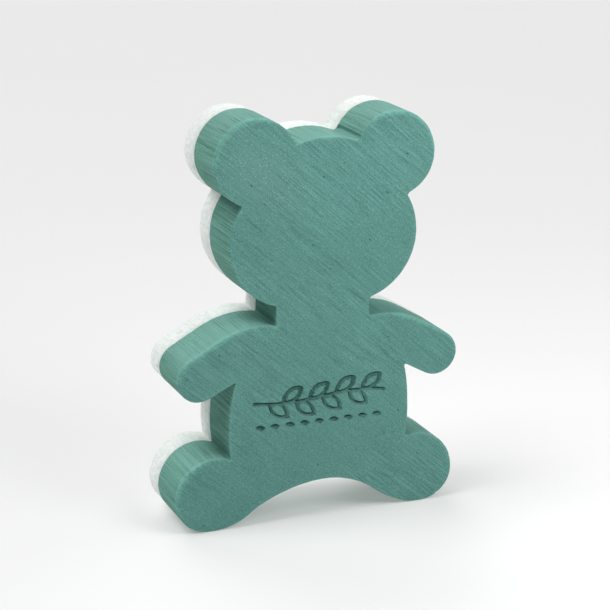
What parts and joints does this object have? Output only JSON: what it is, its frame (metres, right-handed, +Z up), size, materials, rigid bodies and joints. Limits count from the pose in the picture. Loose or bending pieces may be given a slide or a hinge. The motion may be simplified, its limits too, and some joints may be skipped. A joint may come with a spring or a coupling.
{
  "type": "floral foam tribute base",
  "caption": "Flat teddy bear shape of green floral foam glued to a white polystyrene backing, standing on its feet, for building a flower tribute.",
  "frame": {"origin": "on the ground plane, under the middle of the bear's width and thickness", "axes": "+Z up from the soles to the ears, +Y from the foam face through to the polystyrene back, +X to the right of someone facing the foam"},
  "size_m": [0.183, 0.05, 0.25],
  "materials": {
    "floral_foam": "matte",
    "adhesive": "satin",
    "polystyrene": "matte"
  },
  "bodies": {
    "root": {"floral_foam_body": "floral_foam", "adhesive_film": "adhesive", "polystyrene_backing": "polystyrene"}
  },
  "joints": []
}
